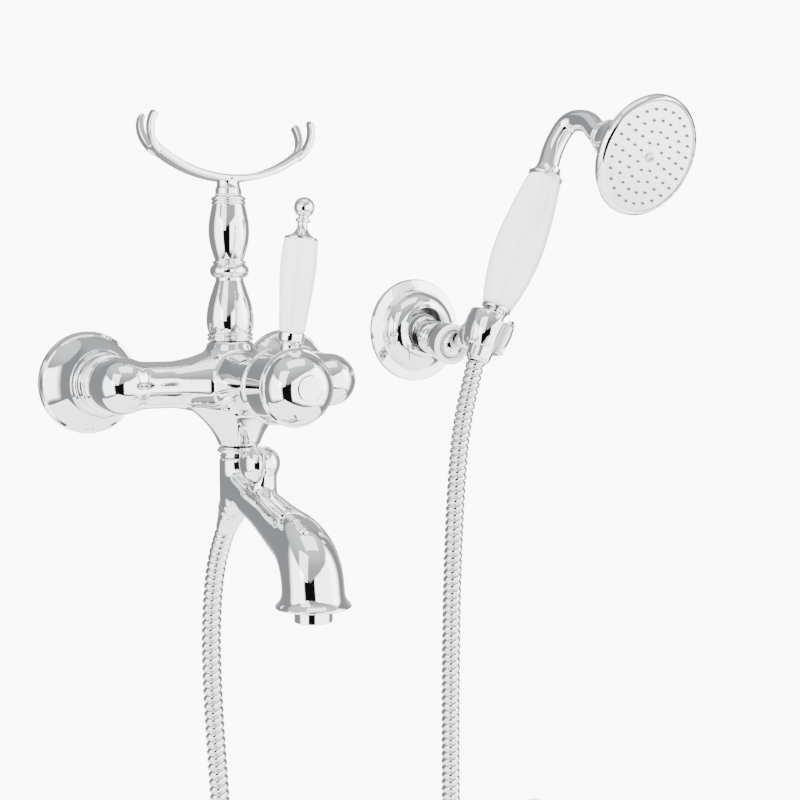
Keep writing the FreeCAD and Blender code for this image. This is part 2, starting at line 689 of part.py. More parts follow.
def prong(side, face):
    """One prong: a flat strip that carries on from the end of the bar, curls upward and leans out."""
    half = size("prong_thickness") / 2
    width = size("prong_width")
    foot = Vector(HALF_SPAN - 6, 0, COLUMN_TOP + RISE - 3.4)
    bend = Vector(HALF_SPAN + 1.8, 0, COLUMN_TOP + RISE + 0.36 * size("prong_height"))
    tip = Vector(HALF_SPAN + 1, 0, COLUMN_TOP + RISE + size("prong_height"))
    curl = Part.Arc(foot, bend, tip).toShape().Curve
    spokes = [(point - curl.Center).normalize() for point in (foot, bend, tip)]
    inner = [curl.Center + spoke * (curl.Radius - half) for spoke in spokes]
    outer = [curl.Center + spoke * (curl.Radius + half) for spoke in spokes]
    crown = tip + spokes[2].cross(Vector(0, 1, 0)) * half
    outline = Part.Wire([
        Part.Arc(*outer).toShape(), Part.Arc(outer[2], crown, inner[2]).toShape(),
        Part.Arc(*inner[::-1]).toShape(), Part.LineSegment(inner[0], outer[0]).toShape(),
    ])
    strip = Part.Face(outline).extrude(Vector(0, width, 0))
    rims = [edge for edge in strip.Edges if abs(edge.tangentAt(edge.FirstParameter).y) < 0.5]
    strip = strip.makeFillet(0.6 * half, rims)
    lean = math.degrees(math.atan2(size("prong_spread") / 2 - DEPTH / 2 + width / 2, tip.z - foot.z))
    strip.translate(Vector(0, DEPTH / 2 - width, 0))
    strip.rotate(Vector(0, DEPTH / 2, foot.z), Vector(1, 0, 0), -lean)
    if face < 0:
        strip = strip.mirror(Vector(0, 0, 0), Vector(0, 1, 0))
    if side < 0:
        strip = strip.mirror(Vector(0, 0, 0), Vector(1, 0, 0))
    return [strip]


def cradle_fork():
    """Flat bar curved like a cup, two prongs at each end, and the turned neck that sits on the column."""
    low = COLUMN_TOP
    outer = Vector(0, 0, low + ARC_RADIUS)
    half_angle = math.asin(HALF_SPAN / ARC_RADIUS)

    def arc_point(radius, angle):
        return outer + Vector(radius * math.sin(angle), 0, -radius * math.cos(angle))

    under = [arc_point(ARC_RADIUS, a) for a in (-half_angle, 0, half_angle)]
    upper = [arc_point(ARC_RADIUS - BAR, a) for a in (half_angle, 0, -half_angle)]
    outline = Part.Wire([
        Part.Arc(*under).toShape(), Part.LineSegment(under[2], upper[0]).toShape(),
        Part.Arc(*upper).toShape(), Part.LineSegment(upper[2], under[0]).toShape(),
    ])
    bar = Part.Face(outline).extrude(Vector(0, DEPTH, 0))
    bar.translate(Vector(0, -DEPTH / 2, 0))
    bar = bar.makeFillet(1.7, [edge for edge in bar.Edges if edge.Length > HALF_SPAN])
    neck = turned([
        (STUD + 0.1, CRADLE_FOOT), (8.8, CRADLE_FOOT), (8.6, CRADLE_FOOT + 3.4),
        (7.6, low - 1.2, 7.9, low + 1.2),
        (7.4, low + 3), (0, low + 3), (0, COLUMN_TOP - 1.8), (STUD + 0.1, COLUMN_TOP - 1.8),
    ])
    pieces = [neck]
    for side in (-1, 1):
        for face in (-1, 1):
            pieces += prong(side, face)
    return bar.fuse(pieces)


made("cradle_fork", cradle_fork(), AT_COLUMN)
ring("cradle_washer", "Sizes.stud_radius + 4.8", "Sizes.stud_radius", str(WASHER - 0.1),
     Placement(COLUMN_FOOT + UP * TOP_RING_TOP, Rotation()))

# ---------------------------------------------------------------- spout
SPOUT_END = Vector(0, -STANDOFF - size("spout_reach"), -size("spout_drop"))
BEND = size("spout_bend")
SLOPE = math.radians(size("spout_slope"))
END_RUN = 8
SPOUT_TOP = -OUTLET_DEPTH - 6.5
BEND_CENTRE = SPOUT_END + Vector(0, BEND, END_RUN)
BEND_START = BEND_CENTRE + Vector(0, -BEND * math.sin(SLOPE), BEND * math.cos(SLOPE))
LEVEL_RUN = (OUTLET_Y - BEND_START.y) / math.cos(SLOPE)
BEND_RUN = BEND * (math.pi / 2 - SLOPE)
SPOUT_RUN = LEVEL_RUN + BEND_RUN + END_RUN


def spout_station(share):
    """Point and heading on the centre line of the spout, at a share of its length from the root."""
    run = share * SPOUT_RUN
    heading = SLOPE
    if run < LEVEL_RUN:
        point = BEND_START + Vector(0, math.cos(SLOPE), math.sin(SLOPE)) * (LEVEL_RUN - run)
    elif run < LEVEL_RUN + BEND_RUN:
        heading = SLOPE + (run - LEVEL_RUN) / BEND
        point = BEND_CENTRE + Vector(0, -BEND * math.sin(heading), BEND * math.cos(heading))
    else:
        heading = math.pi / 2
        point = SPOUT_END + UP * (SPOUT_RUN - run)
    return point, Vector(0, -math.cos(heading), -math.sin(heading))


def spout_radius(share):
    step = min(max((share - 0.2) / 0.75, 0), 1)
    swell = 3 * step ** 2 - 2 * step ** 3
    return size("spout_root_radius") + swell * (size("spout_end_radius") - size("spout_root_radius"))


def spout_loft(radius_at, shares):
    return Part.makeLoft([circle_wire(*spout_station(share), radius_at(share)) for share in shares], True)


HOSE_ANGLE = math.radians(size("hose_outlet_angle"))
HOSE_EXIT = Vector(0, math.sin(HOSE_ANGLE), -math.cos(HOSE_ANGLE))
HOSE_FACE = Vector(0, OUTLET_Y + 13, SPOUT_TOP - 38.5)
CHAMBER = Vector(2, -STANDOFF - size("chamber_reach"), -size("chamber_depth"))
CHAMBER_FACE = CHAMBER.x - 5
AERATOR_SEAT = 9.6
SPINDLE_GAP = size("running_gap")
DIVERTER_SPINDLE = 3.4


def spout_casting():
    """Upright root, arched spout that widens to its flange, hose outlet behind, diverter chamber on top."""
    root = size("outlet_radius")
    end = size("spout_end_radius")
    flange = size("spout_flange_radius")
    bore = size("water_bore_radius")
    upright = turned([
        (0, SPOUT_TOP), (root, SPOUT_TOP), (root, SPOUT_TOP - 28),
        (0.74 * root, SPOUT_TOP - 38, 0, SPOUT_TOP - 41),
    ])
    upright.Placement = Placement(Vector(0, OUTLET_Y, 0), Rotation())
    foot = turned([
        (0, 7), (end, 7), (end + 0.3 * (flange - end), 3, flange - 0.6, 0.6),
        (flange, -0.2, flange - 0.3, -1.2),
        (flange - 1.2, -1.8), (flange - 2.4, -1.8), (flange - 3, -1.2), (0, -1.2),
    ])
    foot.Placement = Placement(SPOUT_END, Rotation())
    shape = spout_loft(spout_radius, (0, 0.16, 0.3, 0.42, 0.54, 0.66, 0.76, 0.86, 0.94, 1))
    boss = rod(HOSE_FACE - HOSE_EXIT * 20, HOSE_FACE, size("hose_boss_radius"))
    shape = upright.fuse([shape, foot, boss, Part.makeSphere(size("chamber_radius"), CHAMBER)])
    shape = shape.fuse(rod(CHAMBER - UP * 22, CHAMBER, 0.78 * size("chamber_radius")))
    left_of_chamber = Part.makeBox(20, 40, 40, Vector(CHAMBER_FACE - 20, CHAMBER.y - 20, CHAMBER.z - 20))
    sweep_of_knob = rod(CHAMBER - RIGHT * 24, CHAMBER, size("knob_radius") + size("free_gap"))
    hollow = [left_of_chamber.common(sweep_of_knob)]
    hollow.append(rod(Vector(0, OUTLET_Y, SPOUT_TOP), Vector(0, OUTLET_Y, SPOUT_TOP - 26), bore))
    bend_corner = SPOUT_END + UP * (END_RUN + BEND * math.tan((math.pi / 2 - SLOPE) / 2))
    channel = [Vector(0, OUTLET_Y + 2, SPOUT_TOP - 18), bend_corner, SPOUT_END + UP * (AERATOR_SEAT - 2)]
    hollow.append(swept(rounded_wire(channel)[0], 0.82 * bore, channel[0], channel[1] - channel[0]))
    hollow.append(rod(SPOUT_END + UP * AERATOR_SEAT, SPOUT_END - UP * 3, size("aerator_radius") - 0.5))
    hollow.append(rod(HOSE_FACE - HOSE_EXIT * 16, HOSE_FACE, 7.2))
    mouth = Vector(CHAMBER_FACE - 1, CHAMBER.y, CHAMBER.z)
    hollow.append(rod(mouth, CHAMBER + RIGHT * 4, DIVERTER_SPINDLE + SPINDLE_GAP))
    hollow.append(rod(mouth, mouth + RIGHT * 2.6, 5.6))
    return shape.cut(hollow)


def spout_collar():
    """Stepped ring between the casting and the spout. Heights are from its lower face."""
    outer = size("outlet_radius")
    bore = size("water_bore_radius")
    return turned([
        (bore, 0), (outer - 0.6, 0), (outer - 0.6, 1.2), (outer - 1.4, 1.6), (outer - 1.4, 2.4), (outer, 2.8),
        *bead(outer + 1.1, 4.4, 1.3), (outer, 6.1), (outer, 6.5), (bore, 6.5),
    ])


made("spout_casting", spout_casting())
made("spout_collar", spout_collar(), Placement(Vector(0, OUTLET_Y, SPOUT_TOP), Rotation()))

# ---------------------------------------------------------------- diverter
AT_DIVERTER = along(-RIGHT, Vector(CHAMBER_FACE, CHAMBER.y, CHAMBER.z))


def diverter_knob():
    """Round knob with a domed face, on the left of the chamber. Heights are from the chamber's face."""
    outer = size("knob_radius")
    back = size("free_gap")
    front = back + size("knob_thickness")
    return turned([
        (DIVERTER_SPINDLE, back), (outer - 3, back), (outer - 0.6, back + 0.5, outer, back + 2.6),
        (0.78 * outer, front - 3.1, 0.6, front), (0, front), (0, front - 3), (DIVERTER_SPINDLE, front - 3),
    ])


def diverter_spindle():
    return turned([(0, -7.5), (DIVERTER_SPINDLE - 0.6, -7.5), (DIVERTER_SPINDLE, -6.9),
                   (DIVERTER_SPINDLE, size("free_gap") + size("knob_thickness") - 3),
                   (0, size("free_gap") + size("knob_thickness") - 3)])


made("diverter_knob", diverter_knob(), AT_DIVERTER)
made("diverter_spindle", diverter_spindle(), AT_DIVERTER)
SEAL_BORE = DIVERTER_SPINDLE + SPINDLE_GAP
made("diverter_seal", turned([(SEAL_BORE, -1.6), (5.6, -1.6), (5.6, -0.1), (SEAL_BORE, -0.1)]),
     AT_DIVERTER)

# ---------------------------------------------------------------- aerator
AT_SPOUT_END = Placement(SPOUT_END, Rotation())


def aerator_housing():
    outer = size("aerator_radius")
    long = size("aerator_length")
    return turned([
        (9.4, AERATOR_SEAT - 1.6), (outer - 0.5, AERATOR_SEAT - 1.6), (outer - 0.5, -1.2), (outer, -1.3),
        (outer, -long + 0.6), (outer - 0.6, -long), (9.8, -long), (9.8, -long + 5), (9.4, -long + 5.5),
    ])


def aerator_insert():
    """Flow straightener: a disc with rings of small holes."""
    top = -size("aerator_length") + 4.6
    disc = Part.makeCylinder(9.8, 3.2, Vector(0, 0, top - 3.2))
    holes = [Part.makeCylinder(0.9, 4, Vector(0, 0, top - 3.6))]
    for count, radius in ((6, 3), (12, 5.6), (16, 8)):
        for index in range(count):
            angle = 2 * math.pi * index / count
            corner = Vector(radius * math.cos(angle), radius * math.sin(angle), top - 3.6)
            holes.append(Part.makeCylinder(0.9, 4, corner))
    return disc.cut(holes)


made("aerator_housing", aerator_housing(), AT_SPOUT_END)
made("aerator_insert", aerator_insert(), AT_SPOUT_END)
ring("aerator_seal", "Sizes.aerator_radius - 0.5", "Sizes.water_bore_radius", "1.6",
     Placement(SPOUT_END + UP * (AERATOR_SEAT - 1.6), Rotation()))

# ---------------------------------------------------------------- hose
HOSE = size("hose_radius")
NUT = size("nut_length")
AT_HOSE_EXIT = along(HOSE_EXIT, HOSE_FACE)


def mixer_hose_nut():
    """Conical nut on the hose outlet. Heights are from the face of the boss."""
    return turned([
        (7.2, 0), (8.6, 0), (9, 0.5), (9, 3.4), (8.5, 4.2), (HOSE + 0.5, NUT - 0.8), (HOSE, NUT), (4.2, NUT),
        (4.2, 9), (7.2, 9),
    ])


def hose_nipple():
    return turned([(4.2, -10), (7.2, -10), (7.2, 7), (4.2, 7)])


made("hose_nipple", hose_nipple(), AT_HOSE_EXIT)
made("hose_nut_mixer", mixer_hose_nut(), AT_HOSE_EXIT)
ring("hose_seal_mixer", "7.2", "4.2", "Sizes.seal_thickness", along(HOSE_EXIT, HOSE_FACE + HOSE_EXIT * 7))

HOSE_ROUTE = [
    Vector(0, -59.1, -99.6), Vector(0, -48.6, -113), Vector(-0.6, -41.4, -129.5), Vector(-2, -38.4, -152),
    Vector(-4, -39.6, -182), Vector(-4.8, -43.4, -220), Vector(-4.6, -49, -265), Vector(-4, -55.4, -320),
    Vector(-3, -61, -385), Vector(-2, -65.6, -452), Vector(-1, -69, -510), Vector(6, -71.6, -557),
    Vector(27, -73.6, -597), Vector(62, -75.4, -620), Vector(104, -77, -619), Vector(140, -78.4, -595),
    Vector(160, -79.6, -553), Vector(166, -80.6, -500), Vector(167, -81.6, -435), Vector(166.4, -82.6, -365),
    Vector(165.4, -83.8, -295), Vector(164.6, -85.6, -230), Vector(164.2, -87.8, -170),
    Vector(164.6, -90.6, -115), Vector(166, -93.4, -68), Vector(168.6, -95.4, -36),
    Vector(173.6, -96.7, -12), Vector(179.46, -97.13, 9.67),
]

# ---------------------------------------------------------------- wall bracket
BRACKET = Vector(size("bracket_x"), 0, size("bracket_z"))
DROOP = math.radians(size("bracket_droop"))
STEM = Vector(0, -math.cos(DROOP), -math.sin(DROOP))
BALL_RUN = size("bracket_reach") / math.cos(DROOP)
BALL = BRACKET + STEM * BALL_RUN
BALL_RADIUS = size("bracket_ball_radius")
BALL_GAP = 0.3
CLIP = Vector(BRACKET.x + size("clip_side"), -size("clip_reach"), BRACKET.z + size("clip_lift"))
ARM = (CLIP - BALL).normalize()
ARM_RUN = (CLIP - BALL).Length
SOCKET = size("socket_radius")


def bracket_plate():
    """Back plate with two screw holes, above and below the middle, and a threaded stub for the stem."""
    wide = size("bracket_plate_radius")
    plate = turned([(0, 0), (wide, 0), (wide, 2.8), (wide - 0.6, 3.4), (9, 3.4), (9, 8), (0, 8)])
    plate.Placement = along(OUT, BRACKET)
    half = size("screw_hole_spacing") / 2
    feet = [BRACKET + UP * -half, BRACKET + UP * half]
    holes = [rod(foot - OUT, foot + OUT * 5, size("screw_hole_radius")) for foot in feet]
    return plate.cut(holes)


def bracket_rosette():
    """Flat outer flange, a step, then a dome that closes round the foot of the stem."""
    outer = size("bracket_rosette_radius")
    step = outer - 9
    return turned([
        (outer - 2, 0), (outer, 0), (outer, 2.4), (outer - 0.8, 3.6), (step + 1.4, 5), (step + 0.4, 4.6),
        (step - 0.4, 5.4), (step - 3, 13.8, 20, 18.8), (17.8, 19.8), (17.4, 19.4), (17.4, 18.2), (19.4, 17.2),
        (step - 4.4, 12.4, step - 2, 4.4), (outer - 3, 2.2),
    ])


def bracket_stem():
    """Stem with a ball shaped foot at the wall and a ball seat at its end."""
    start = 8.2 / math.cos(DROOP)
    foot = BRACKET + OUT * 10 - UP * 1.2
    body = turned([
        (0, start), (12.4, start), (12.4, 22), (12.8, 32), (SOCKET - 1.6, 41), (SOCKET - 0.4, 45),
        (SOCKET - 0.2, BALL_RUN + 2),
        (0, BALL_RUN + 2),
    ])
    body.Placement = along(STEM, BRACKET)
    body = body.fuse(Part.makeSphere(14.8, foot).common(rod(BRACKET + OUT * 8.2, BRACKET + OUT * 30, 30)))
    behind = rod(BRACKET, BRACKET + OUT * 8.2, 40)
    seat = Part.makeSphere(BALL_RADIUS + BALL_GAP, BALL)
    mouth = rod(BALL, BALL + STEM * 4, BALL_RADIUS + BALL_GAP)
    return body.cut([behind, seat, mouth])


def socket_ring():
    """White retaining ring round the mouth of the ball seat. Heights are from the centre of the ball."""
    return turned([
        (10.95, 2), (SOCKET - 0.4, 2), (SOCKET + 0.2, 2.8), (SOCKET + 0.2, 5.4), (SOCKET - 0.6, 6.4),
        (12.8, 6.4),
        (12, 5.6), (12, 3.6), (10.95, 3.4),
    ])


made("bracket_plate", bracket_plate())
made("bracket_rosette", bracket_rosette(), along(OUT, BRACKET))
made("bracket_stem", bracket_stem())
made("bracket_socket_ring", socket_ring(), along(STEM, BALL))

# ---------------------------------------------------------------- clip
HEADING = math.radians(size("handset_heading"))
FORWARD = Vector(math.sin(HEADING), -math.cos(HEADING), 0)
TURN = Rotation(FORWARD, -size("handset_side_lean")) * Rotation(UP, size("handset_heading") - 90)
TURN = TURN * Rotation(Vector(0, 1, 0), size("handset_pitch"))
AT_CLIP = Placement(CLIP, TURN)
GRIP_AXIS = TURN.multVec(UP)
CLIP_TOP = 0.46 * size("clip_height")
CLIP_FOOT = CLIP_TOP - size("clip_height")
NUT_TOP = 9
NUT_TAPER_END = -21
NUT_FOOT = -24
NUT_SLOPE = (size("handset_nut_top_radius") - size("handset_nut_foot_radius")) / (NUT_TOP - NUT_TAPER_END)


def seat_radius(height):
    return size("handset_nut_foot_radius") + NUT_SLOPE * (height - NUT_TAPER_END) + size("seat_gap")


def clip_outside():
    wall = size("clip_wall")
    return turned([
        (0, CLIP_FOOT), (seat_radius(CLIP_FOOT) + wall - 1.2, CLIP_FOOT),
        (seat_radius(CLIP_FOOT) + wall - 0.4, CLIP_FOOT + 0.8),
        (seat_radius(0) + wall + size("clip_bulge"), CLIP_FOOT + 0.6 * size("clip_height"),
         seat_radius(CLIP_TOP) + wall + 0.2, CLIP_TOP - 2),
        (seat_radius(CLIP_TOP) + wall - 0.1, CLIP_TOP - 0.6, seat_radius(CLIP_TOP) + wall - 1, CLIP_TOP),
        (0, CLIP_TOP),
    ])


def clip_screw_shape():
    start = ARM_RUN - seat_radius(0) - 14
    end = ARM_RUN - seat_radius(0) - 0.6
    shape = turned([
        (0, start), (2.2, start), (2.2, end - 2.4), (4, end - 1.8), (4, end),
        (1.4, end), (1.4, end - 1.6), (0, end - 1.6),
    ])
    shape.Placement = along(ARM, BALL)
    return shape


def clip_screw_hole():
    start = ARM_RUN - seat_radius(0) - 14
    end = ARM_RUN - seat_radius(0) - 0.6
    shape = turned([(0, start), (2.2, start), (2.2, end - 2.4), (4, end - 1.8), (4, end + 6), (0, end + 6)])
    shape.Placement = along(ARM, BALL)
    return shape


def ball_arm():
    """Ball, slim neck and an arm that widens to the back of the clip."""
    shape = turned([
        (0, 0), (BALL_RADIUS, 0),
        (BALL_RADIUS * 0.76, BALL_RADIUS * 0.65, 6.2, math.sqrt(BALL_RADIUS ** 2 - 6.2 ** 2)),
        (6.2, 11.5), (8.2, 21, 11.8, ARM_RUN - 19), (12.2, ARM_RUN - 15), (0, ARM_RUN - 15),
    ])
    lower = turned([(0, 0), (0, -BALL_RADIUS), (BALL_RADIUS * 0.7071, -BALL_RADIUS * 0.7071, BALL_RADIUS, 0)])
    shape = shape.fuse(lower)
    shape.Placement = along(ARM, BALL)
    outside = clip_outside()
    outside.Placement = AT_CLIP
    return shape.cut([outside, clip_screw_hole()])


def clip():
    """Cone shaped clip with a slot in front, rounded lips at the slot and a screw hole at the back."""
    outside = clip_outside()
    inside = turned([
        (0, CLIP_FOOT - 1), (seat_radius(CLIP_FOOT - 1), CLIP_FOOT - 1),
        (seat_radius(CLIP_TOP - 0.8), CLIP_TOP - 0.8),
        (seat_radius(CLIP_TOP) + 1, CLIP_TOP + 0.4), (0, CLIP_TOP + 0.4),
    ])
    half = size("clip_slot") / 2
    slot = Part.makeBox(40, 2 * half, size("clip_height") + 4, Vector(0, -half, CLIP_FOOT - 2))
    lips = []
    for side in (-1, 1):
        reach = math.sqrt((seat_radius(0) + 0.6 * size("clip_wall")) ** 2 - (half + 1.6) ** 2)
        foot = Vector(reach + 0.4, side * (half + 1.7), CLIP_FOOT + 1.6)
        top = Vector(reach + 1.4, side * (half + 1.9), CLIP_TOP - 2.2)
        lips += [rod(foot, top, 2.3), Part.makeSphere(2.3, foot), Part.makeSphere(2.3, top)]
    shape = outside.cut(slot).fuse(lips).cut(inside)
    shape.Placement = AT_CLIP
    return shape.cut(clip_screw_hole())


made("bracket_ball_arm", ball_arm())
made("bracket_clip", clip())
made("bracket_clip_screw", clip_screw_shape(), along(ARM, BALL))

# ---------------------------------------------------------------- hand shower
GRIP_START = size("grip_foot")
GRIP_END = GRIP_START + size("grip_length")
INLET = 9.5
WATERWAY = 5


def handset_hose_nut():
    return turned([
        (INLET, NUT_TOP), (size("handset_nut_top_radius") - 0.5, NUT_TOP),
        (size("handset_nut_top_radius"), NUT_TOP - 0.5),
        (size("handset_nut_foot_radius"), NUT_TAPER_END), (7, NUT_FOOT), (WATERWAY, NUT_FOOT),
        (WATERWAY, -4), (INLET, -4),
    ])


def handset_inlet():
    """Chrome end under the grip: a flared collar, a waist and the thread inside the nut."""
    return turned([
        (WATERWAY, -2), (INLET - 0.6, -2), (INLET, -1.4), (INLET, NUT_TOP), (8.4, NUT_TOP + 0.6),
        (8.1, NUT_TOP + 3, 9.6, GRIP_START - 3.4), (10.6, GRIP_START - 2.6),
        (11, GRIP_START - 1.4, 10.6, GRIP_START),
        (WATERWAY, GRIP_START),
    ])


def handset_grip():
    wide = size("grip_radius")
    long = size("grip_length")
    top = size("grip_top_radius")
    return turned([
        (6.5, GRIP_START), (9.8, GRIP_START), (0.62 * wide, GRIP_START + 1.2),
        (0.81 * wide, GRIP_START + 0.14 * long, 0.94 * wide, GRIP_START + 0.29 * long),
        (wide, GRIP_START + 0.44 * long, 0.975 * wide, GRIP_START + 0.58 * long),
        (0.88 * wide, GRIP_START + 0.77 * long, top, GRIP_END - 1.6), (top - 1, GRIP_END), (6.5, GRIP_END),
    ])


def handset_ferrule():
    top = size("grip_top_radius")
    tube = size("neck_tube_radius")
    return turned([
        (5.5, GRIP_END), (top - 1, GRIP_END), (top - 0.2, GRIP_END + 0.8),
        *bead(top + 0.2, GRIP_END + 2.4, 1),
        (top - 1.8, GRIP_END + 4), (tube + 2.4, GRIP_END + 5.4, tube + 1.2, GRIP_END + 10),
        (5.5, GRIP_END + 10),
    ])


HEAD_TILT = math.radians(size("head_tilt"))
HEAD_AXIS = Vector(math.cos(HEAD_TILT), 0, -math.sin(HEAD_TILT))
FACE = Vector(size("head_forward"), 0, GRIP_END + size("head_height"))
HEAD_DEPTH = size("head_depth")
HEAD_NECK = FACE - HEAD_AXIS * HEAD_DEPTH
RIM = size("head_radius")
TUBE = size("neck_tube_radius")


def handset_neck():
    """Curved tube from the top of the grip, slightly back and then over to the head."""
    start = Vector(0, 0, GRIP_END + 2)
    route = [start, Vector(-3.4, 0, GRIP_END + 27), Vector(2, 0, GRIP_END + 48),
             HEAD_NECK - HEAD_AXIS * 16 + Vector(-2, 0, 6.5), HEAD_NECK - HEAD_AXIS * 4,
             HEAD_NECK + HEAD_AXIS * 4]
    wire, _ = rounded_wire(route)
    heading = route[1] - route[0]
    return swept(wire, TUBE, start, heading), swept(wire, WATERWAY, start, heading)


def head_place(shape):
    shape.Placement = along(HEAD_AXIS, FACE)
    return shape


def handset_bell():
    """Bell from the neck to the rim, with an even wall. Heights are from the middle of the face."""
    back = -HEAD_DEPTH
    edge = RIM - 1.2
    shell = turned([
        (TUBE, back), (TUBE + 1.8, back), (TUBE + 2.6, back + 1.2, TUBE + 1.8, back + 2.6),
        (TUBE + 1.8, back + 4.4), (TUBE + 4.2, back + 5.2), (TUBE + 5.2, back + 6.6, TUBE + 4.6, back + 8),
        (TUBE + 8.4, back + 20, 0.60 * RIM, -0.36 * HEAD_DEPTH),
        (0.86 * RIM, -0.2 * HEAD_DEPTH, edge, -7), (edge, -5.5), (edge - 2.2, -5.5), (edge - 2.2, -7),
        (0.83 * RIM, -0.18 * HEAD_DEPTH, 0.56 * RIM, -0.32 * HEAD_DEPTH),
        (TUBE + 5.6, back + 23, TUBE, back + 11),
    ])
    return head_place(shell)


def handset_rim():
    return head_place(turned([
        (RIM - 3.4, -5.5), (RIM - 0.6, -5.5), (RIM, -4.9), (RIM, -3.8),
        (RIM - 0.9, -1.2, RIM - 2.6, 0.4), (RIM - 3.2, 0.3), (RIM - 3.4, -0.2),
    ]))


def face_plate():
    edge = RIM - 3.4
    return head_place(turned([
        (0, -4), (edge, -4), (edge, -1.8), (edge - 0.7, -0.9), (0.5 * RIM, -0.5, 3.4, -0.3), (0, -0.3),
    ]))


def nozzles():
    """Four rings of small rubber nozzles that stand out of the face."""
    nozzle = size("nozzle_radius")
    points = []
    for count, share in ((8, 0.24), (14, 0.42), (20, 0.60), (26, 0.78)):
        for index in range(count):
            angle = 2 * math.pi * (index + 0.5 * (count % 4 == 2)) / count
            radius = share * RIM
            foot = -0.85 + 0.2 * (1 - share)
            place = Vector(radius * math.cos(angle), radius * math.sin(angle), foot)
            points.append(Part.makeCone(nozzle, 0.7 * nozzle, 1.5, place))
    return head_place(Part.makeCompound(points))


def face_screw():
    head = turned([(0, -0.3), (3.4, -0.4), (3.4, 0.8), (2.9, 1.6), (0, 1.9)])
    slot = Part.makeBox(3.8, 0.9, 2, Vector(-1.9, -0.45, 0.8))
    cross = slot.fuse(Part.makeBox(0.9, 3.8, 2, Vector(-0.45, -1.9, 0.8)))
    return head_place(head.cut(cross))


def in_hand(label, shape):
    """A piece of the hand shower, placed by the clip that it rests in."""
    return made(label, shape.copy(), AT_CLIP.multiply(shape.Placement))


in_hand("handset_hose_nut", handset_hose_nut())
in_hand("handset_seal", turned([(WATERWAY, -4), (INLET - 0.1, -4), (INLET - 0.1, -2), (WATERWAY, -2)]))
in_hand("handset_inlet", handset_inlet())
in_hand("handset_grip", handset_grip())
neck_outside, neck_waterway = handset_neck()
in_hand("handset_ferrule", handset_ferrule().cut(neck_outside))
in_hand("handset_neck", neck_outside.cut(neck_waterway))
in_hand("handset_bell", handset_bell())
in_hand("handset_rim", handset_rim())
in_hand("handset_face", face_plate())
in_hand("handset_nozzles", nozzles())
in_hand("handset_face_screw", face_screw())

hose_wire, hose_radii = rounded_wire(HOSE_ROUTE)
hose_shape = swept(hose_wire, HOSE, HOSE_ROUTE[0], HOSE_ROUTE[1] - HOSE_ROUTE[0])
made("shower_hose", hose_shape)
print("hose radii", [round(r) for r in hose_radii])
print("hose length", round(hose_wire.Length, 1), "volume", round(hose_shape.Volume), "section x length",
      round(math.pi * HOSE ** 2 * hose_wire.Length))
print("nut foot", CLIP + GRIP_AXIS * NUT_FOOT, "clip", CLIP, "axis", GRIP_AXIS, "face", AT_CLIP.multVec(FACE))

# ---------------------------------------------------------------- check and write
DOC.recompute()
for feature in DOC.Objects:
    bad = [state for state in feature.State if state in ("Invalid", "Error")]
    if bad:
        raise RuntimeError(f"{feature.Label} is {bad}")
os.makedirs("parts", exist_ok=True)
for feature in SUB_PARTS:
    shape = feature.Shape
    if shape.isNull() or not shape.isValid():
        raise RuntimeError(f"{feature.Label} has no valid shape")
    shape.exportStep(f"parts/{feature.Label}.step")
print(len(SUB_PARTS), "sub-parts written")
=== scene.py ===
# %% [markdown]
# # A wall mounted bath mixer with its hand shower
#
# This lesson dresses a ready made frame of solid parts. The frame gives every part its place and says what
# moves with what. Here the parts get their finishes, and the parts that need finer shapes are modelled anew.
# Everything is in metres. The wall is the plane Y = 0, the fitting stands out along -Y, and Z is up.

# %% Load the frame
import json
import math
import bmesh
import bpy
from mathutils import Matrix, Vector


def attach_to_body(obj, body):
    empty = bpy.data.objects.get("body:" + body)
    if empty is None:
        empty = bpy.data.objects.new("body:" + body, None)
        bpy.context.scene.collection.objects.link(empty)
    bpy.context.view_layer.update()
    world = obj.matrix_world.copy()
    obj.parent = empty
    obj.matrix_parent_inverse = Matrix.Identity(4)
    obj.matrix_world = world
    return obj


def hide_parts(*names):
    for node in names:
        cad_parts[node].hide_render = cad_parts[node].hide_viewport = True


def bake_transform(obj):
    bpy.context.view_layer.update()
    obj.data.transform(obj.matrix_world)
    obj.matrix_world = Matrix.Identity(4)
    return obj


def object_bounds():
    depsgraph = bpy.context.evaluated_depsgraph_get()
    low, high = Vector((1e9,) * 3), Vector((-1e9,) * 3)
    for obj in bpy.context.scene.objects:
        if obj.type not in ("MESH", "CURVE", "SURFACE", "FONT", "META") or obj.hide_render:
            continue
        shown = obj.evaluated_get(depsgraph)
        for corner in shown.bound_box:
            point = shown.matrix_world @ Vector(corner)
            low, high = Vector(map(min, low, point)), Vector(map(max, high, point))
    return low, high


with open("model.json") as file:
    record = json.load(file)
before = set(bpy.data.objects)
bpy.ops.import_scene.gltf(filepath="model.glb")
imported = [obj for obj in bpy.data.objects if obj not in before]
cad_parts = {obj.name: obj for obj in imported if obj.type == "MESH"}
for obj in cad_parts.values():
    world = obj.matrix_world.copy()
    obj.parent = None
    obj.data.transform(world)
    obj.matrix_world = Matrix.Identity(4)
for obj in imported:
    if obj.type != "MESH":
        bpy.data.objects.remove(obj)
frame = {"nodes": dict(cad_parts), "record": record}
solid_box = [list(corner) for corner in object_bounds()]

# %% [markdown]
# The camera stands a metre away, to the left of the fitting and a little above the inlets. Its three axes come
# from a heading, a small downward pitch and a small roll, so each can be changed alone.

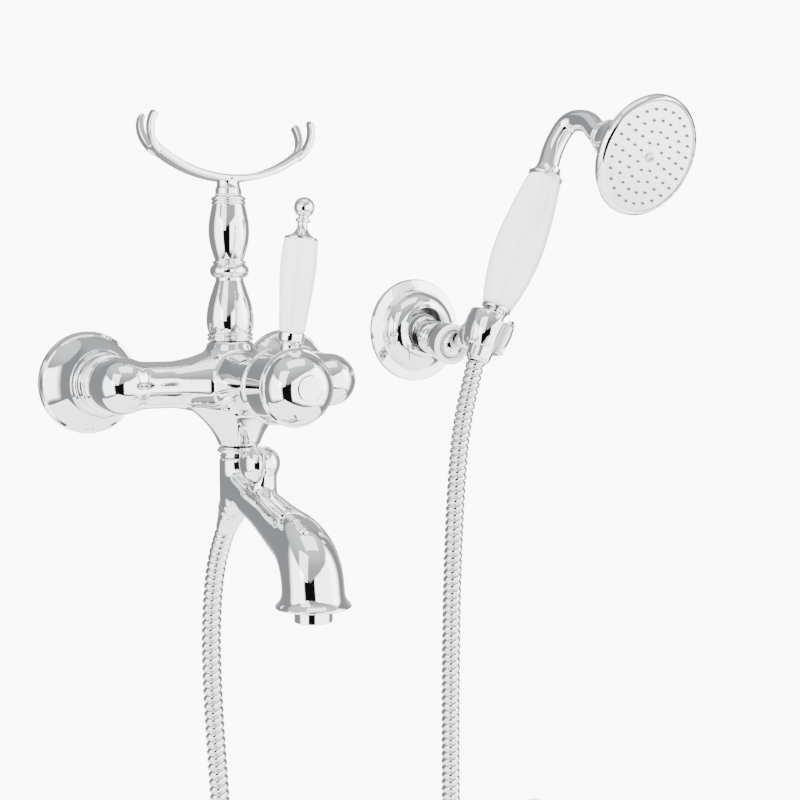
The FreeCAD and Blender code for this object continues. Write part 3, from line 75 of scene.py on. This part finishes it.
# %% The camera
HEADING, PITCH, ROLL = (math.radians(turn) for turn in (31.2, 3.2, -0.4))
CAMERA_PLACE = Vector((-0.3888, -0.9308, 0.0400))
LENS, SENSOR = 62.96, 36
ahead = Vector((math.sin(HEADING) * math.cos(PITCH), math.cos(HEADING) * math.cos(PITCH), -math.sin(PITCH)))
level = Vector((math.cos(HEADING), -math.sin(HEADING), 0))
rise = level.cross(ahead)
across = level * math.cos(ROLL) + rise * math.sin(ROLL)
upward = rise * math.cos(ROLL) - level * math.sin(ROLL)
lens = bpy.data.cameras.new("lens")
lens.lens = LENS
lens.sensor_width = SENSOR
lens.clip_start = 0.01
camera = bpy.data.objects.new("camera", lens)
bpy.context.collection.objects.link(camera)
turned = Matrix((across, upward, -ahead)).transposed().to_quaternion()
camera.matrix_world = Matrix.LocRotScale(CAMERA_PLACE, turned, None)
bpy.context.scene.camera = camera
print("camera", lens.lens, "mm, looking along", [round(part, 3) for part in ahead])

# %% [markdown]
# Shader maths reads best as plain expressions. A small class wraps a socket and gives it the usual signs, and
# one method adds any other node from its type, its settings and its inputs.


# %% Sockets that do arithmetic
class Wire:
    """One output socket of a node tree."""

    def __init__(self, tree, socket):
        self.tree = tree
        self.socket = socket

    def node(self, kind, settings=None, out=0, **inputs):
        """Add a node, set it up, link or fill its inputs by name or by number, and give back one output."""
        made = self.tree.nodes.new(kind)
        for key, value in (settings or {}).items():
            if key == "stops":
                ramp = made.color_ramp
                while len(ramp.elements) < len(value):
                    ramp.elements.new(0.5)
                for element, (place, shade) in zip(ramp.elements, value):
                    element.position = place
                    element.color = (*shade, 1) if len(shade) == 3 else shade
            else:
                setattr(made, key, value)
        for key, value in inputs.items():
            name = key.replace("_", " ")
            socket = made.inputs[int(key[1:])] if key[0] == "i" and key[1:].isdigit() else made.inputs[name]
            if isinstance(value, Wire):
                self.tree.links.new(value.socket, socket)
            else:
                socket.default_value = value
        return Wire(self.tree, made.outputs[out]) if made.outputs else None

    def math(self, operation, *values, clamp=False):
        named = {f"i{index}": value for index, value in enumerate(values)}
        return self.node("ShaderNodeMath", {"operation": operation, "use_clamp": clamp}, **named)

    def __add__(self, other): return self.math("ADD", self, other)
    def __radd__(self, other): return self.math("ADD", other, self)
    def __sub__(self, other): return self.math("SUBTRACT", self, other)
    def __rsub__(self, other): return self.math("SUBTRACT", other, self)
    def __mul__(self, other): return self.math("MULTIPLY", self, other)
    def __rmul__(self, other): return self.math("MULTIPLY", other, self)
    def __truediv__(self, other): return self.math("DIVIDE", self, other)
    def __rtruediv__(self, other): return self.math("DIVIDE", other, self)
    def __neg__(self): return self.math("MULTIPLY", self, -1.0)

    def between(self, low, high):
        """0 below low, 1 above high, and smooth from one to the other."""
        return self.node("ShaderNodeMapRange", {"interpolation_type": "SMOOTHSTEP"}, Value=self,
                         From_Min=low, From_Max=high)

    def blend(self, first, second):
        """Colour that goes from the first to the second as this value goes from 0 to 1."""
        return self.node("ShaderNodeMix", {"data_type": "RGBA"}, out=2, i0=self, i6=first, i7=second)


# %% [markdown]
# Polished metal shows the room and not itself, so the room is the main part of the look. The room here is a
# white tent with a dark slit where the visitor stands, a softer grey ceiling, and a pale floor. It is painted
# on the world by direction: swing is the angle from straight ahead, left or right, and height goes from -1
# below to 1 above. Large soft lamps give the ceramic its shape.

# %% The studio
world = bpy.data.worlds.new("tent")
bpy.context.scene.world = world
world.use_nodes = True
world.node_tree.nodes.clear()
sky = Wire(world.node_tree, None)
direction = sky.node("ShaderNodeTexCoord", out=0)
split = direction.node("ShaderNodeSeparateXYZ", i0=direction)
toward = Wire(world.node_tree, split.socket.node.outputs[0])
depth = Wire(world.node_tree, split.socket.node.outputs[1])
height = Wire(world.node_tree, split.socket.node.outputs[2])
ALONG, SIDE = -ahead.x, -ahead.y
front = toward * ALONG + depth * SIDE
sideways = toward * SIDE * -1 + depth * ALONG
swing = sky.math("ARCTAN2", sideways, front)
swing = swing + 0.06
around = sky.math("ABSOLUTE", swing)
eaves = 0.12 + around * 0.30
right_panel = swing.between(0.24, 0.34) * (1 - swing.between(1.75, 2.15))
left_panel = (-swing).between(0.34, 0.46) * (1 - (-swing).between(1.15, 1.5))
panels = (right_panel + left_panel) * height.between(-0.56, -0.42)
above = (height - eaves).between(0.0, 0.06)
rear = around.between(2.25, 2.8)
low = 1 - height.between(-0.75, -0.5)
dark_core = 1 - around.between(0.34, 0.9)
tent = dark_core.blend((0.38, 0.395, 0.415, 1), (0.008, 0.008, 0.010, 1))
tent = rear.blend(tent, (0.62, 0.64, 0.67, 1))
tent = low.blend(tent, (0.30, 0.31, 0.33, 1))
tent = panels.blend(tent, (5.5, 5.55, 5.6, 1))
ceiling = height.between(0.35, 0.95).blend((0.62, 0.64, 0.67, 1), (1.25, 1.28, 1.3, 1))
tent = above.blend(tent, ceiling)
soft = height.between(-1.0, 1.0).blend((2.6, 2.62, 2.66, 1), (4.6, 4.6, 4.6, 1))
rays = sky.node("ShaderNodeLightPath", out="Is Glossy Ray")
is_camera = Wire(world.node_tree, rays.socket.node.outputs["Is Camera Ray"])
seen = rays.blend(soft, tent)
seen = is_camera.blend(seen, (10.0, 10.0, 10.0, 1))
shine = sky.node("ShaderNodeBackground", Color=seen, Strength=1.0)
sky.node("ShaderNodeOutputWorld", Surface=shine)


def softbox(name, place, aim, width, tall, power):
    lamp = bpy.data.lights.new(name, "AREA")
    lamp.shape = "RECTANGLE"
    lamp.size, lamp.size_y, lamp.energy = width, tall, power
    box = bpy.data.objects.new(name, lamp)
    bpy.context.collection.objects.link(box)
    box.matrix_world = Matrix.LocRotScale(Vector(place), (Vector(aim) - Vector(place)).to_track_quat("-Z", "Y"), None)
    return box


softbox("left_softbox", (-1.5, -1.1, 0.9), (0, -0.1, 0), 1.1, 1.6, 18)
softbox("right_softbox", (1.6, -1.2, 0.5), (0.1, -0.1, 0), 0.9, 1.5, 10)
softbox("top_softbox", (0.0, -0.6, 1.7), (0.1, -0.1, 0), 1.4, 1.0, 10)

FLOOR_HALF, FLOOR_DROP = 1.2, 0.25
floor_mesh = bpy.data.meshes.new("floor")
sheet = bmesh.new()
bmesh.ops.create_grid(sheet, x_segments=1, y_segments=1, size=FLOOR_HALF)
bmesh.ops.translate(sheet, verts=sheet.verts, vec=(0, 0, solid_box[0][2] - FLOOR_DROP))
sheet.to_mesh(floor_mesh)
sheet.free()
floor = bpy.data.objects.new("floor", floor_mesh)
bpy.context.collection.objects.link(floor)


# %% [markdown]
# Every finish starts from one helper: it makes a material, hands back its main shader and a wire to work with.


# %% A helper for finishes
def finish(name, paint, rough, metal, **fixed):
    material = bpy.data.materials.new(name)
    material.use_nodes = True
    tree = material.node_tree
    shader = tree.nodes["Principled BSDF"]
    shader.inputs["Base Color"].default_value = (*paint, 1)
    shader.inputs["Roughness"].default_value = rough
    shader.inputs["Metallic"].default_value = metal
    for key, value in fixed.items():
        shader.inputs[key.replace("_", " ")].default_value = value
    return material, shader, Wire(tree, None)


def attach(wire, shader, socket):
    wire.tree.links.new(wire.socket, shader.inputs[socket])


def bump(start, shader, height_of, strength, distance):
    attach(start.node("ShaderNodeBump", Height=height_of, Strength=strength, Distance=distance), shader, "Normal")


# %% [markdown]
# Chrome is a mirror with the faintest haze. Two noises keep it from looking like a formula: a slow one
# stands for wiping marks, and a fine one ripples the surface by a hair.

# %% Polished chrome
chrome, shader, start = finish("polished_chrome", (0.79, 0.797, 0.80), 0.03, 1.0)
place = start.node("ShaderNodeTexCoord", out="Object")
smear = start.node("ShaderNodeTexNoise", Vector=place, Scale=38.0, Detail=3.0)
wipe = start.node("ShaderNodeTexNoise", Vector=place, Scale=420.0, Detail=2.0)
attach(0.015 + smear.between(0.45, 0.75) * 0.035, shader, "Roughness")
attach(smear.blend((0.77, 0.778, 0.782, 1), (0.81, 0.815, 0.818, 1)), shader, "Base Color")
bump(start, shader, wipe, 0.02, 0.0002)

# %% [markdown]
# The grips are white glazed ceramic: a bright body under a clear glossy coat.

# %% Glazed ceramic
ceramic, shader, start = finish("glazed_ceramic", (0.88, 0.885, 0.88), 0.12, 0.0,
                                Coat_Weight=0.6, Coat_Roughness=0.03)
place = start.node("ShaderNodeTexCoord", out="Object")
cloud = start.node("ShaderNodeTexNoise", Vector=place, Scale=30.0, Detail=4.0)
attach(cloud.blend((0.85, 0.855, 0.85, 1), (0.90, 0.903, 0.90, 1)), shader, "Base Color")
attach(0.08 + cloud * 0.1, shader, "Roughness")
bump(start, shader, start.node("ShaderNodeTexNoise", Vector=place, Scale=160.0), 0.03, 0.0003)

# %% [markdown]
# The other finishes differ only in colour, roughness and grain, so one function makes them all. The table
# below it has one finish for each material slot of the frame, and every part gets the finish of its slot.


# %% Other finishes
def speckled(name, dark, light, rough, metal, scale, depth_of, **fixed):
    material, shader, start = finish(name, light, rough, metal, **fixed)
    place = start.node("ShaderNodeTexCoord", out="Object")
    grain = start.node("ShaderNodeTexNoise", Vector=place, Scale=scale, Detail=3.0)
    attach(grain.blend((*dark, 1), (*light, 1)), shader, "Base Color")
    attach(rough * 0.8 + grain * (rough * 0.4), shader, "Roughness")
    bump(start, shader, grain, 0.15, depth_of)
    return material


finishes = {
    "chrome": chrome,
    "white_ceramic": ceramic,
    "black_rubber": speckled("black_rubber", (0.02, 0.02, 0.02), (0.04, 0.04, 0.04), 0.6, 0.0, 900, 0.0001),
    "grey_rubber": speckled("grey_rubber", (0.05, 0.052, 0.055), (0.09, 0.092, 0.095), 0.45, 0.0, 900, 0.0001),
    "grey_plastic": speckled("grey_plastic", (0.5, 0.51, 0.52), (0.58, 0.59, 0.6), 0.4, 0.0, 700, 0.0001),
    "white_plastic": speckled("white_plastic", (0.8, 0.8, 0.79), (0.87, 0.87, 0.86), 0.28, 0.0, 500, 0.00005),
    "brass": speckled("turned_brass", (0.66, 0.5, 0.25), (0.8, 0.64, 0.36), 0.25, 1.0, 500, 0.00005),
    "satin_plate": speckled("satin_plate", (0.86, 0.865, 0.87), (0.93, 0.932, 0.935), 0.3, 0.75, 300, 0.00003),
    "steel": speckled("stainless_steel", (0.56, 0.56, 0.56), (0.68, 0.68, 0.68), 0.3, 1.0, 600, 0.00005),
    "hose_steel": speckled("hose_steel", (0.60, 0.605, 0.61), (0.70, 0.705, 0.71), 0.07, 1.0, 300, 0.00003),
}
slots = {entry["node"]: entry["material_slot"] for entry in frame["record"]["subparts"]}
for name, node in frame["nodes"].items():
    for index in range(max(1, len(node.material_slots))):
        if not node.material_slots:
            node.data.materials.append(None)
        node.material_slots[index].material = finishes[slots[name]]
print(len(finishes), "finishes on", len(slots), "nodes")

# %% [markdown]
# The hose is a strip of metal wound into a tube, each turn hooked over the last one. Its line is a smooth
# spline through a few chosen places: out of the nut, down the back, round a low loop and up to the hand shower.

# %% The line of the hose
HOSE_ROUTE = [
    (0, -0.0591, -0.0996), (0, -0.0486, -0.113), (-0.0006, -0.0414, -0.1295), (-0.002, -0.0384, -0.152),
    (-0.004, -0.0396, -0.182), (-0.0048, -0.0434, -0.22), (-0.0046, -0.049, -0.265), (-0.004, -0.0554, -0.32),
    (-0.003, -0.061, -0.385), (-0.002, -0.0656, -0.452), (-0.001, -0.069, -0.51), (0.006, -0.0716, -0.557),
    (0.027, -0.0736, -0.597), (0.062, -0.0754, -0.62), (0.104, -0.077, -0.619), (0.14, -0.0784, -0.595),
    (0.16, -0.0796, -0.553), (0.166, -0.0806, -0.5), (0.167, -0.0816, -0.435), (0.1664, -0.0826, -0.365),
    (0.1654, -0.0838, -0.295), (0.1646, -0.0856, -0.23), (0.1642, -0.0878, -0.17), (0.1646, -0.0906, -0.115),
    (0.166, -0.0934, -0.068), (0.1686, -0.0954, -0.036), (0.1736, -0.0967, -0.012), (0.18, -0.0972, 0.0109),
]
line = bpy.data.curves.new("hose_line", "CURVE")
line.dimensions = "3D"
line.resolution_u = 16
spline = line.splines.new("NURBS")
spline.points.add(len(HOSE_ROUTE) - 1)
for knot, stop in zip(spline.points, HOSE_ROUTE):
    knot.co = (*stop, 1)
spline.order_u = 3
spline.use_endpoint_u = True
holder = bpy.data.objects.new("hose_line", line)
bpy.context.collection.objects.link(holder)
bpy.context.view_layer.update()
drawn = bpy.data.meshes.new_from_object(holder.evaluated_get(bpy.context.evaluated_depsgraph_get()))
hose_path = [vertex.co.copy() for vertex in drawn.vertices]
bpy.data.objects.remove(holder)
reach = [0.0]
for near, far in zip(hose_path, hose_path[1:]):
    reach.append(reach[-1] + (far - near).length)
HOSE_LENGTH = reach[-1]
print("hose", round(HOSE_LENGTH, 3), "m along", len(hose_path), "places")

# %% [markdown]
# One turn of the strip is a short outline: a rounded crown, then a narrow sunk seam. Spinning that outline with
# a steady lift winds one turn. Copies of it are doubled again and again into a straight hose, which is cut to
# length, and each vertex is then carried to its place on the line.

# %% A wound tube, carried along the line
HOSE_RADIUS = 0.0068
TURN = 0.0052
TURN_STEPS = 24
# Each point is a share of the turn and how far it lies under the crown.
STRIP_OUTLINE = [(0.00, -0.0015), (0.05, -0.0011), (0.13, -0.0006), (0.27, -0.00016), (0.45, 0.0),
                 (0.63, -0.00008), (0.79, -0.0004), (0.92, -0.0010)]


def hose_frames():
    """Centre and two side directions for each place on the line, without any twist."""
    heading = (hose_path[1] - hose_path[0]).normalized()
    side = heading.orthogonal().normalized()
    frames = []
    for index, centre in enumerate(hose_path):
        ahead_of = hose_path[min(index + 1, len(hose_path) - 1)] - hose_path[max(index - 1, 0)]
        heading = ahead_of.normalized()
        side = (side - heading * side.dot(heading)).normalized()
        frames.append((centre, side, heading.cross(side)))
    return frames


def wound_hose(name, start, end, material):
    """The stretch of the hose between two distances along its line."""
    strip = bmesh.new()
    ring = [strip.verts.new((HOSE_RADIUS + dip, 0, share * TURN)) for share, dip in STRIP_OUTLINE]
    ring.append(strip.verts.new((HOSE_RADIUS + STRIP_OUTLINE[0][1], 0, TURN)))
    edges = [strip.edges.new(pair) for pair in zip(ring, ring[1:])]
    bmesh.ops.spin(strip, geom=ring + edges, cent=(0, 0, 0), axis=(0, 0, 1), dvec=(0, 0, TURN / TURN_STEPS),
                   angle=2 * math.pi, steps=TURN_STEPS, use_merge=False, use_duplicate=False)
    turns = 1
    while turns < (end - start) / TURN + 3:
        copied = bmesh.ops.duplicate(strip, geom=strip.verts[:] + strip.edges[:] + strip.faces[:])
        fresh = [part for part in copied["geom"] if isinstance(part, bmesh.types.BMVert)]
        bmesh.ops.translate(strip, verts=fresh, vec=(0, 0, turns * TURN))
        turns *= 2
    bmesh.ops.translate(strip, verts=strip.verts, vec=(0, 0, -1.5 * TURN))
    bmesh.ops.remove_doubles(strip, verts=strip.verts, dist=1e-5)
    for height_of, outward in ((0.0, -1), (end - start, 1)):
        cut = bmesh.ops.bisect_plane(strip, geom=strip.verts[:] + strip.edges[:] + strip.faces[:], dist=1e-6,
                                     plane_co=(0, 0, height_of), plane_no=(0, 0, outward), clear_outer=True)
        rim = [part for part in cut["geom_cut"] if isinstance(part, bmesh.types.BMEdge)]
        bmesh.ops.holes_fill(strip, edges=rim)
    frames = hose_frames()
    index = 0
    for vertex in sorted(strip.verts, key=lambda v: v.co.z):
        along_line = min(max(start + vertex.co.z, 0), HOSE_LENGTH)
        while index < len(reach) - 2 and reach[index + 1] < along_line:
            index += 1
        share = (along_line - reach[index]) / (reach[index + 1] - reach[index])
        (from_here, x_here, y_here), (to_there, x_there, y_there) = frames[index], frames[index + 1]
        centre = from_here.lerp(to_there, share)
        vertex.co = centre + x_here.lerp(x_there, share) * vertex.co.x + y_here.lerp(y_there, share) * vertex.co.y
    bmesh.ops.recalc_face_normals(strip, faces=strip.faces)
    mesh = bpy.data.meshes.new(name)
    strip.to_mesh(mesh)
    strip.free()
    mesh.shade_smooth()
    mesh.materials.append(material)
    piece = bpy.data.objects.new(name, mesh)
    bpy.context.collection.objects.link(piece)
    print(name, len(mesh.polygons), "faces")
    return piece


# %% [markdown]
# The hose is made as two stretches of one line: a long part from the nut round the low loop, and a short top
# part that ends at the hand shower. The path of each stretch and a bend line are worked out where they meet.

# %% Two stretches of one hose
TOP_STRETCH = 0.10
top_start = HOSE_LENGTH - TOP_STRETCH
hose = wound_hose("metal_hose", 0.0, top_start, finishes["hose_steel"])
hose_top = wound_hose("metal_hose_top", top_start, HOSE_LENGTH, finishes["hose_steel"])
seam_at = next(i for i, far in enumerate(reach) if far > top_start)
seam_share = (top_start - reach[seam_at - 1]) / (reach[seam_at] - reach[seam_at - 1])
seam = hose_path[seam_at - 1].lerp(hose_path[seam_at], seam_share)
top_path = [seam] + hose_path[seam_at:]
low_path = hose_path[:seam_at] + [seam]
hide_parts("shower_hose")
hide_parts("shower_hose")
# The bend line starts low on the rising half and runs up to the seam.
BEND_X, BEND_DROP, BEND_SLOPE = 0.160, 0.30, 0.35
bend_from = Vector((BEND_X, seam.y, seam.z - BEND_DROP))
bend_along = Vector((1, 0, BEND_SLOPE))
bend_along *= (seam - bend_from).dot(bend_along) / bend_along.length_squared
bend_from + bend_along
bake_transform(hose)
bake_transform(hose_top)

# %% [markdown]
# The casting and the spout are poured in one piece, so their arms flow into each other with no edge between.
# A copy of each solid is turned into an even skin of small squares, and the skin is relaxed until it flows.


# %% Cast bodies with flowing joints
CASTING_GRAIN, CASTING_ROUNDS = 0.0009, 26
SPOUT_GRAIN, SPOUT_ROUNDS = 0.0007, 30


def flowing_copy(name, node, body, grain, rounds):
    """An even, relaxed skin over a solid."""
    source = bmesh.new()
    source.from_mesh(frame["nodes"][node].data)
    bmesh.ops.remove_doubles(source, verts=source.verts, dist=1e-6)
    mesh = bpy.data.meshes.new(name)
    source.to_mesh(mesh)
    source.free()
    piece = bpy.data.objects.new(name, mesh)
    bpy.context.collection.objects.link(piece)
    remesh = piece.modifiers.new("skin", "REMESH")
    remesh.mode = "VOXEL"
    remesh.voxel_size = grain
    bpy.context.view_layer.update()
    skinned = bpy.data.meshes.new_from_object(piece.evaluated_get(bpy.context.evaluated_depsgraph_get()))
    piece.modifiers.clear()
    piece.data = skinned
    skin = bmesh.new()
    skin.from_mesh(skinned)
    for _ in range(rounds):
        bmesh.ops.smooth_vert(skin, verts=skin.verts, factor=0.5, use_axis_x=True, use_axis_y=True, use_axis_z=True)
    bmesh.ops.recalc_face_normals(skin, faces=skin.faces)
    skin.to_mesh(skinned)
    skin.free()
    skinned.shade_smooth()
    skinned.materials.clear()
    skinned.materials.append(finishes["chrome"])
    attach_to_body(piece, body)
    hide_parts(node)
    print(name, len(skinned.polygons), "faces")
    return piece


flowing_copy("flowing_casting", "mixer_casting", "wall_fixed", CASTING_GRAIN, CASTING_ROUNDS)
flowing_copy("flowing_spout", "spout_casting", "wall_fixed", SPOUT_GRAIN, SPOUT_ROUNDS)
